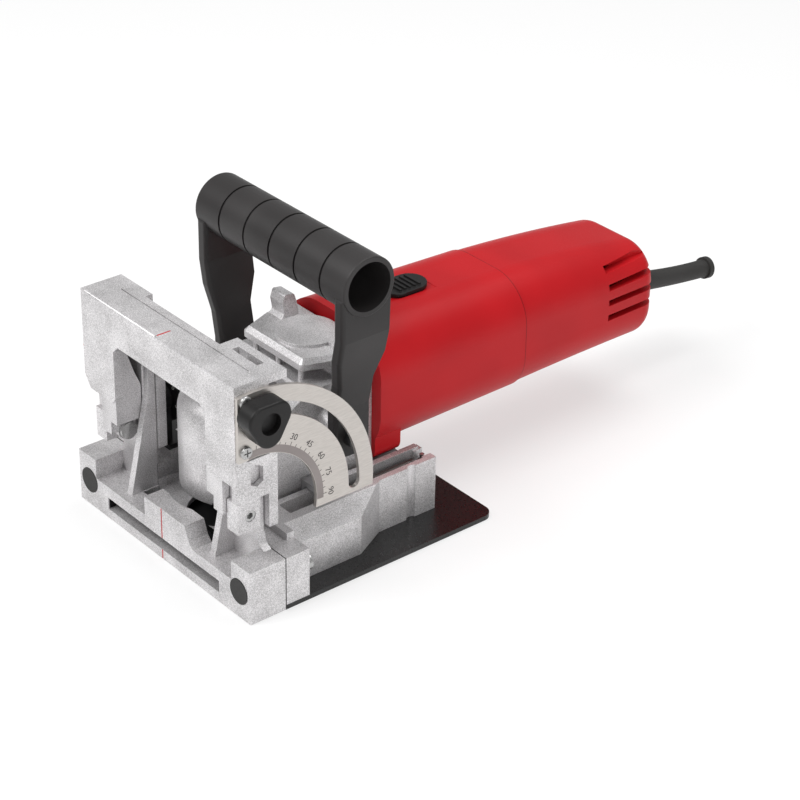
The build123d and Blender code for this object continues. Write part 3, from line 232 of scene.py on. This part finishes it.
finish = {
    "cast_alloy": cast_aluminium(),
    "machined_alloy": steel("machined_aluminium", "C9C9CA", "A9A9AB", 0.34, (1.0, 0.08, 1.0)),
    "red_housing": moulded("red_abs_housing", "B3141B", "AC1219", 0.4, 0.5, 0.02, 0.18,
                           shaded_seam_y=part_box("motor_front_shell")[1][1] / MM),
    "red_trim": moulded("red_abs_knob", "BE1620", "B3131C", 0.3, 0.5, 0.02),
    "black_grip": moulded("glass_filled_nylon", "333131", "2C2A2A", 0.42, 0.5, 0.03, 0.3),
    "black_switch": moulded("black_nylon_switch", "1A1919", "151414", 0.42, 0.6, 0.05, 0.3),
    "black_sole": moulded("black_enamel_on_steel", "161616", "101010", 0.3, 1.2, 0.02),
    "black_rubber": moulded("vulcanised_rubber", "323130", "2A2928", 0.6, 0.7, 0.05, 0.35),
    "black_nylon": moulded("black_nylon", "1A1919", "151414", 0.42, 0.6, 0.04, 0.4),
    "carbon": moulded("pressed_carbon", "222222", "1B1B1B", 0.7, 0.3, 0.03),
    "quadrant_steel": steel("satin_anodised_plate", "CFCAC5", "BEB9B4", 0.4, (1.0, 0.06, 1.0), 0.3),
    "printed_grey": moulded("grey_screen_ink", "8C8482", "827A78", 0.5, 0.6, 0.0),
    "printed_black": moulded("black_screen_ink", "2A2626", "201D1D", 0.5, 0.6, 0.0),
    "printed_white": moulded("white_screen_ink", "DDDBD8", "D2D0CD", 0.5, 0.6, 0.0),
    "steel": steel("zinc_plated_steel", "C4C4C3", "A2A2A2", 0.28),
    "black_steel": moulded("black_oxide_steel", "2A2A2B", "202021", 0.4, 0.5, 0.02),
    "spring_steel": steel("spring_wire", "6E6C6A", "4A4846", 0.34),
    "red_mark": moulded("red_filled_line", "C0141C", "A51119", 0.5, 0.6, 0.01),
    "blade_steel": moulded("black_coated_saw_steel", "1E1E1F", "151516", 0.35, 0.6, 0.01),
    "carbide": steel("tungsten_carbide", "6A6A6D", "505053", 0.3),
    "copper": steel("enamelled_copper_wire", "B5663A", "8E4A26", 0.34, (1.0, 0.3, 1.0), 0.6),
    "laminations": steel("stacked_iron_sheet", "6E6C6A", "3E3D3C", 0.5, (0.05, 1.0, 0.05), 0.7),
    "brass": steel("stamped_brass", "C6A052", "A17C35", 0.3),
}
print("finishes", len(finish))

# %% Finishes on the frame's pieces
node_slot = {row["node"]: row["material_slot"] for row in frame["record"]["subparts"]}
for node, piece in frame["nodes"].items():
    for place_in_list in range(len(piece.material_slots)):
        piece.material_slots[place_in_list].material = finish[node_slot[node]]
node_body = {node: body for body, nodes in frame["record"]["behaviour"]["bodies"].items() for node in nodes}


# %% [markdown]
# ## Softened castings
#
# A die casting has no sharp edge anywhere: the corners of the mould are rounded by about half
# a millimetre.  A bevel on every hard edge shows as the bright line that the eye reads
# as metal.  The frame's meshes stay as they are, so each casting gets a copy whose loose
# triangles are merged, whose flat faces are joined again, and whose edges are then bevelled.

# %% A copy with rounded edges
def register(piece, slot, body, *nodes, look=None):
    """Gives a finished piece its finish, attaches it to its body if one is given (none leaves it
    unattached), and hides the nodes it stands for.
    """
    piece.data.materials.clear()
    piece.data.materials.append(finish[look or slot])
    if body:
        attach(piece, body)
    if nodes:
        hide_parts(*nodes)
    return piece


def softened(node, radius_mm, segments=2):
    """Merged copy of a node with a bevel on edges that turn by more than 32 degrees."""
    piece = frame["nodes"][node].copy()
    piece.data = piece.data.copy()
    piece.name = node + "_rounded"
    piece.parent = None
    bpy.context.scene.collection.objects.link(piece)
    piece.data.materials.clear()
    bpy.context.view_layer.objects.active = piece
    merge = piece.modifiers.new("merge", "WELD")
    merge.merge_threshold = 0.004 * MM
    flat = piece.modifiers.new("flat", "DECIMATE")
    flat.decimate_type = "DISSOLVE"
    flat.angle_limit = np.radians(0.6)
    edge = piece.modifiers.new("edge", "BEVEL")
    edge.width = radius_mm * MM
    edge.segments = segments
    edge.limit_method = "ANGLE"
    edge.angle_limit = np.radians(32)
    edge.harden_normals = True
    for modifier in ("merge", "flat", "edge"):
        with bpy.context.temp_override(object=piece, active_object=piece, selected_objects=[piece]):
            bpy.ops.object.modifier_apply(modifier=modifier)
    return register(piece, node_slot[node], node_body[node], node)


for node, radius in (("front_casting", 0.6), ("slide_housing", 0.6), ("fence", 0.5),
                     ("height_carriage", 0.5), ("gear_head_cover", 0.5), ("gear_head", 0.4),
                     ("switch_button", 0.35), ("height_knob", 0.2)):
    piece = softened(node, radius)
    print(piece.name, "faces", len(piece.data.polygons))

# %% [markdown]
# ## Return springs
#
# The motor unit is pulled back by two tension springs that lie in the rails.  Each is one length
# of 0.8 mm wire: a ring round the pin at each end and a close coil between them.  The wire is a
# circle carried along a path, and the path's five parts are joined end to end.  The coil crosses
# the plunge joint, so it is attached to neither the base nor the motor unit.

# %% A wire carried along a path
def wire(name, points, outward, radius, sides=10):
    """Tube: round each path point a circle p + r (n cos u + b sin u), where n is the outward
    direction made square to the tangent t, and b = t x n.  The two ends close on their centres."""
    tangent = np.gradient(points, axis=0)
    tangent /= np.linalg.norm(tangent, axis=1, keepdims=True)
    normal = outward - (outward * tangent).sum(1, keepdims=True) * tangent
    normal /= np.linalg.norm(normal, axis=1, keepdims=True)
    other = np.cross(tangent, normal)
    u = np.linspace(0, 2 * np.pi, sides, endpoint=False)[None, :, None]
    grid = points[:, None] + radius * (normal[:, None] * np.cos(u) + other[:, None] * np.sin(u))
    rings = len(points)
    i, j = np.meshgrid(np.arange(rings - 1), np.arange(sides), indexing="ij")
    k = (j + 1) % sides
    quads = np.stack([i * sides + j, i * sides + k, (i + 1) * sides + k, (i + 1) * sides + j], -1)
    first, last = rings * sides, rings * sides + 1
    ring = np.arange(sides)
    after = (ring + 1) % sides
    tail = (rings - 1) * sides
    caps = [[first, b, a] for a, b in zip(ring, after)]
    caps += [[last, tail + a, tail + b] for a, b in zip(ring, after)]
    corners = np.concatenate([grid.reshape(-1, 3), points[:1], points[-1:]])
    mesh = bpy.data.meshes.new(name)
    mesh.from_pydata(corners.tolist(), [], quads.reshape(-1, 4).tolist() + caps)
    mesh.polygons.foreach_set("use_smooth", np.ones(len(mesh.polygons), bool))
    piece = bpy.data.objects.new(name, mesh)
    bpy.context.scene.collection.objects.link(piece)
    return piece


# %% The two springs
HOOK_FRONT, HOOK_BACK = 5.0, 5.4     # from a pin to the first turn of the coil
COIL_RADIUS, PIN_RING_RADIUS, WIRE_RADIUS = 2.55, 1.85, 0.4
TURNS = 61                           # 51 mm of coil at 0.84 mm a turn


def spring_path(x, z, y_front, y_back, coil_radius, ring_radius, turns):
    """Ring, cubic bend, helix (x + r cos a, y0 + p a, z + r sin a), cubic bend, ring.
    Returns the points and, for each, the direction away from the middle of its ring or coil."""
    coil_front, coil_back = y_front + HOOK_FRONT, y_back - HOOK_BACK
    a = np.linspace(-1.7 * np.pi, 0, 40)
    ring_a = np.stack([x + ring_radius * np.cos(a), y_front + ring_radius * np.sin(a), z + 0 * a], 1)
    out_a = np.stack([np.cos(a), np.sin(a), 0 * a], 1)
    h = np.linspace(0, 2 * np.pi * turns, turns * 20 + 1)
    along = coil_front + (coil_back - coil_front) * h / h[-1]
    coil = np.stack([x + coil_radius * np.cos(h), along, z + coil_radius * np.sin(h)], 1)
    out_h = np.stack([np.cos(h), 0 * h, np.sin(h)], 1)
    ring_b = np.stack([x + ring_radius * np.cos(-a), y_back + ring_radius * np.sin(-a), z + 0 * a], 1)[::-1]
    out_b = np.stack([np.cos(-a), np.sin(-a), 0 * a], 1)[::-1]
    t = np.linspace(0, 1, 14)[1:-1, None]
    sideways = np.tile([1.0, 0.0, 0.0], (len(t), 1))

    def bend(p, q, leave, arrive):
        """Cubic from p to q that leaves and arrives along the given steps."""
        return ((1 - t) ** 3 * p + 3 * (1 - t) ** 2 * t * (p + leave) + 3 * (1 - t) * t ** 2 * (q - arrive)
                + t ** 3 * q)

    forward, upward = np.array([0, 1.6, 0]), np.array([0, 0, 0.9])
    points = [ring_a, bend(ring_a[-1], coil[0], forward, upward), coil,
              bend(coil[-1], ring_b[0], upward, forward), ring_b]
    return np.concatenate(points), np.concatenate([out_a, sideways, out_h, sideways, out_b])


for side_name in ("left", "right"):
    node = "return_spring_" + side_name
    low, high = (np.array(corner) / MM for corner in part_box(node))
    middle_x, middle_z = (low[0] + high[0]) / 2, (low[2] + high[2]) / 2
    front_y, back_y = low[1] + 2.5, high[1] - 2.5
    points, outward = spring_path(middle_x, middle_z, front_y, back_y, COIL_RADIUS,
                                  PIN_RING_RADIUS, TURNS)
    coil = wire(node + "_coil", points * MM, outward, WIRE_RADIUS * MM)
    spring = register(coil, "spring_steel", None, node)
    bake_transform(spring)
    print(spring.name, "from", front_y, "to", back_y, "mm, triangles about", len(points) * 20)

# %% [markdown]
# ## Angle scale
#
# The quadrant is a satin plate with a scale printed in ink: a grey band along its inner edge, a
# short line every 5 degrees and a number every 15.  Ink stands 0.03 mm proud, which is enough to
# give it an edge.  The plate turns with the fence, so the scale does too.

# %% Plates bent along an arc
quadrant_low, quadrant_high = (np.array(corner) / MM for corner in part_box("angle_quadrant"))
PLATE_RADIUS, PLATE_DROP = 67.4, 5.9     # the plate's rim, and how far it hangs below the pivot
BAND_INNER, BAND_OUTER = 34.3, 38.0
NUMBER_RADIUS = 42.2
pivot = np.array([quadrant_high[1] - PLATE_RADIUS, quadrant_low[2] + PLATE_DROP])
plate_face = quadrant_high[0]
print("pivot y, z", pivot, "face x", plate_face)


def arc_plates(name, spans, inner, outer, lift, steps):
    """Thin plates on the quadrant's face: a rectangle (inner..outer, face..face + lift) swept
    through each span of angle.  Each plate is closed by a rectangle at either end."""
    spans = np.radians(spans)
    inner, outer = (np.broadcast_to(edge, len(spans)) for edge in (inner, outer))
    share = np.linspace(0, 1, steps + 1)
    angle = (spans[:, :1] + (spans[:, 1:] - spans[:, :1]) * share)[:, :, None]
    radius = np.stack([inner, outer, outer, inner], 1)[:, None, :]
    x = np.broadcast_to(plate_face + np.array([-0.01, -0.01, lift, lift]), angle.shape[:2] + (4,))
    grid = np.stack([x, pivot[0] + radius * np.cos(angle), pivot[1] + radius * np.sin(angle)], -1) * MM
    n, i, j = np.meshgrid(np.arange(len(spans)), np.arange(steps), np.arange(4), indexing="ij")
    at = n * (steps + 1) * 4 + i * 4
    k = (j + 1) % 4
    walls = np.stack([at + j, at + 4 + j, at + 4 + k, at + k], -1).reshape(-1, 4)
    start = np.arange(len(spans)) * (steps + 1) * 4
    ends = np.concatenate([start[:, None] + [0, 1, 2, 3],
                           start[:, None] + steps * 4 + np.array([3, 2, 1, 0])])
    mesh = bpy.data.meshes.new(name)
    mesh.from_pydata(grid.reshape(-1, 3).tolist(), [], np.concatenate([walls, ends]).tolist())
    piece = bpy.data.objects.new(name, mesh)
    bpy.context.scene.collection.objects.link(piece)
    return piece


band = arc_plates("angle_scale_band", np.array([[-3.0, 97.0]]), BAND_INNER, BAND_OUTER, 0.02, 60)
register(band, "quadrant_steel", "fence", look="printed_grey")
marks = np.arange(0, 91, 5)
tick_reach = np.where(marks % 15 == 0, 39.8, 39.2)
ticks = arc_plates("angle_scale_ticks", np.stack([marks - 0.22, marks + 0.22], 1), BAND_OUTER,
                   tick_reach, 0.03, 1)
register(ticks, "quadrant_steel", "fence", look="printed_black")
print("ticks", len(marks))

# %% [markdown]
# ## Numbers
#
# Each number is set in Blender's own plain typeface, made a mesh while it lies flat, and only
# then moved to its place, so that its object stays at the origin.  On the quadrant the tops of
# the figures point away from the pivot; on the depth dial they point away from the axle.

# %% A number on a face
def number(name, text, height_mm, centre, rightward, upward, lift_mm=0.02):
    """Text mesh: local x along rightward, local y along upward, centred on the given point."""
    outline = bpy.data.curves.new(name, "FONT")
    outline.body = text
    outline.size = height_mm * 1.4 * MM
    outline.align_x = "CENTER"
    outline.align_y = "CENTER"
    outline.extrude = lift_mm * MM
    outline.resolution_u = 4
    flat = bpy.data.objects.new(name + "_outline", outline)
    bpy.context.scene.collection.objects.link(flat)
    bpy.context.view_layer.update()
    mesh = bpy.data.meshes.new_from_object(flat.evaluated_get(bpy.context.evaluated_depsgraph_get()))
    bpy.data.objects.remove(flat)
    right, up = Vector(rightward), Vector(upward)
    turn = Matrix((right, up, right.cross(up))).transposed().to_4x4()
    mesh.transform(Matrix.Translation(Vector(centre) * MM) @ turn)
    mesh.name = name
    piece = bpy.data.objects.new(name, mesh)
    bpy.context.scene.collection.objects.link(piece)
    return piece


angle_readings = (0, 15, 30, 45, 60, 75, 90)
for reading in angle_readings:
    a = np.radians(90 - reading)
    centre = (plate_face + 0.02, pivot[0] + NUMBER_RADIUS * np.cos(a),
              pivot[1] + NUMBER_RADIUS * np.sin(a))
    figure = number(f"angle_number_{reading}", str(reading), 3.1, centre, (0, np.sin(a), -np.cos(a)),
                    (0, np.cos(a), np.sin(a)))
    register(figure, "quadrant_steel", "fence", look="printed_black")

dial_low, dial_high = (np.array(corner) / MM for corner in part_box("depth_dial"))
dial_middle = (dial_low + dial_high) / 2
DIAL_NUMBER_RADIUS = 9.9
dial_texts = ("0", "10", "20", "1", "2", "3")
for place_number, text in enumerate(dial_texts):
    a = np.radians(45 + 60 * place_number)
    centre = (dial_middle[0] + DIAL_NUMBER_RADIUS * np.cos(a), dial_low[1] - 0.01,
              dial_middle[2] + DIAL_NUMBER_RADIUS * np.sin(a))
    figure = number(f"dial_number_{place_number}", text, 2.6, centre, (np.sin(a), 0, -np.cos(a)),
                    (np.cos(a), 0, np.sin(a)))
    register(figure, node_slot["depth_dial"], "depth_dial", look="printed_white")
print("numbers", len(angle_readings) + len(dial_texts))

# %% [markdown]
# ## Camera, floor and light
#
# A long lens from the front right and above keeps the tool's edges nearly parallel.  The floor is
# plain and pale; part of its white is emission that only the camera and reflections see, so it
# looks clean and still keeps the tool's shadow.  Three large area lamps give the soft light of a
# product studio: a key from the front, a weaker one from the side, and one above.

# %% Camera at the tool's front right, looking down
def aim(position, azimuth, elevation, roll):
    """Camera matrix: it looks back along the direction given by azimuth and elevation."""
    a, e, r = np.radians([azimuth, elevation, roll])
    back = Vector((np.sin(a) * np.cos(e), -np.cos(a) * np.cos(e), np.sin(e)))
    right = Vector((np.cos(a), np.sin(a), 0))
    up = back.cross(right)
    turned_right = right * np.cos(r) + up * np.sin(r)
    turned_up = up * np.cos(r) - right * np.sin(r)
    turn = Matrix((turned_right, turned_up, back)).transposed().to_4x4()
    return Matrix.Translation(Vector(position)) @ turn


lens = bpy.data.cameras.new("camera")
lens.lens = 108.66
lens.sensor_width = 36
lens.clip_start = 0.01
camera = bpy.data.objects.new("camera", lens)
bpy.context.scene.collection.objects.link(camera)
camera.matrix_world = aim((0.80255, -0.58646, 0.64323), 49.718, 30.027, 1.11)
bpy.context.scene.camera = camera

# %% Floor
def floor():
    """Plain floor that the camera sees as white and that keeps the tool's shadow."""
    bpy.ops.mesh.primitive_plane_add(size=12, location=(0, 0, -0.0002))
    ground = bpy.context.object
    ground.name = "floor"
    material, tree, shader = start_material("white_paper")
    shader.inputs["Base Color"].default_value = linear("F4F4F4")
    shader.inputs["Roughness"].default_value = 0.9
    path = tree.nodes.new("ShaderNodeLightPath")
    seen = add(tree, "ShaderNodeMath", {"operation": "MAXIMUM"}, _0=path.outputs["Is Camera Ray"],
               _1=path.outputs["Is Glossy Ray"])
    white = add(tree, "ShaderNodeEmission", Color=linear("FFFFFF"), Strength=1.0)
    share = add(tree, "ShaderNodeMath", {"operation": "MULTIPLY"}, _0=seen.outputs[0], _1=0.55)
    mix = add(tree, "ShaderNodeMixShader", Fac=share.outputs[0], _1=shader.outputs[0],
              _2=white.outputs[0])
    tree.links.new(mix.outputs[0], tree.nodes["Material Output"].inputs["Surface"])
    ground.data.materials.append(material)


floor()


# %% Lights and world
def softbox(name, position, target, size, power):
    """Square area light turned towards a point."""
    light = bpy.data.lights.new(name, "AREA")
    light.size = size
    light.energy = power
    lamp = bpy.data.objects.new(name, light)
    bpy.context.scene.collection.objects.link(lamp)
    lamp.location = position
    lamp.rotation_euler = (Vector(target) - Vector(position)).to_track_quat("-Z", "Y").to_euler()


centre = (0.0, 0.07, 0.06)
softbox("key", (-0.35, -0.9, 1.2), centre, 0.8, 16)
softbox("side", (1.3, -0.1, 0.6), centre, 0.7, 5)
softbox("top", (0.1, 0.5, 1.4), centre, 0.9, 10)

world = bpy.data.worlds.new("studio")
world.use_nodes = True
bpy.context.scene.world = world
sky = world.node_tree
background = sky.nodes["Background"]
background.inputs["Color"].default_value = (1, 1, 1, 1)
light_path = sky.nodes.new("ShaderNodeLightPath")
camera_level = add(sky, "ShaderNodeMapRange", Value=light_path.outputs["Is Camera Ray"], To_Min=0.42,
                   To_Max=1.0)
sky.links.new(camera_level.outputs[0], background.inputs["Strength"])
bpy.context.scene.view_settings.view_transform = "Standard"
